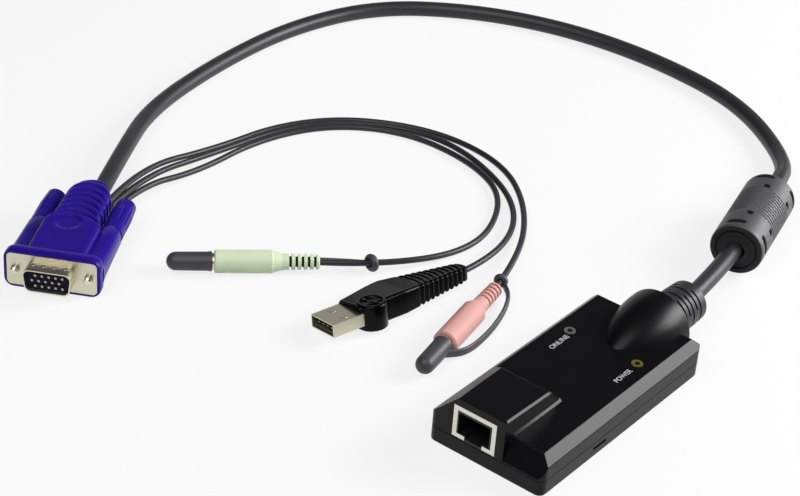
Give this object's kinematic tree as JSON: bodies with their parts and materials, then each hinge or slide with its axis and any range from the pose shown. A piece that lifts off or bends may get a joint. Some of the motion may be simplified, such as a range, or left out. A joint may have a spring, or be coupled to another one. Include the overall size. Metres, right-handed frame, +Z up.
{
  "type": "kvm dongle",
  "caption": "Adapter pod with a network socket and a captive cable to a video plug, a USB plug and two capped audio plugs.",
  "frame": {"origin": "middle of the pod's underside, with its strain relief, on the floor", "axes": "+Y along the pod towards its cable, +Z up, socket facing -Y"},
  "size_m": [0.2539, 0.2951, 0.0219],
  "materials": {
    "black_plastic": "satin",
    "black_soft": "matt",
    "board_green": "satin",
    "chip_black": "matt",
    "header_white": "satin",
    "shield_metal": "bright",
    "gold": "bright",
    "lamp_clear": "gloss",
    "lamp_amber": "gloss",
    "cable_grey": "satin",
    "ferrite": "matt",
    "blue_plastic": "satin",
    "nickel": "bright",
    "navy_plastic": "satin",
    "screw_steel": "bright",
    "green_plastic": "satin",
    "pink_plastic": "satin",
    "white_plastic": "satin"
  },
  "bodies": {
    "dongle": {"bottom_shell": "black_plastic", "top_shell": "black_plastic", "circuit_board": "board_green", "controller_chip": "chip_black", "cable_header": "header_white", "led_online": "white_plastic", "led_power": "white_plastic", "light_pipe_online": "lamp_clear", "light_pipe_power": "lamp_amber", "jack_shield": "shield_metal", "jack_insert": "black_plastic", "jack_contacts": "gold", "strain_relief": "black_soft", "main_cable": "cable_grey", "choke_cover": "black_soft", "choke_core": "ferrite", "vga_hood": "blue_plastic", "vga_shell": "nickel", "vga_insert": "navy_plastic", "vga_pins": "gold", "green_cable": "cable_grey", "pink_cable": "cable_grey", "usb_cable": "cable_grey", "usb_hood": "black_soft", "usb_shell": "nickel", "usb_tongue": "white_plastic", "usb_contacts": "gold", "green_plug_body": "green_plastic", "green_plug_pin": "nickel", "green_cap": "black_soft", "pink_plug_body": "pink_plastic", "pink_plug_pin": "nickel", "pink_cap": "black_soft"},
    "thumbscrew_left": {"knob_left": "blue_plastic", "screw_left": "screw_steel"},
    "thumbscrew_right": {"knob_right": "blue_plastic", "screw_right": "screw_steel"}
  },
  "joints": [
    {"name": "turn_left", "type": "hinge", "parent": "dongle", "child": "thumbscrew_left", "pos_m": [-0.18663, -0.05975, 0.0073], "axis": [-0.4952, 0.8688, 0], "continuous": true},
    {"name": "turn_right", "type": "hinge", "parent": "dongle", "child": "thumbscrew_right", "pos_m": [-0.16492, -0.04738, 0.0073], "axis": [-0.4952, 0.8688, 0], "continuous": true}
  ]
}
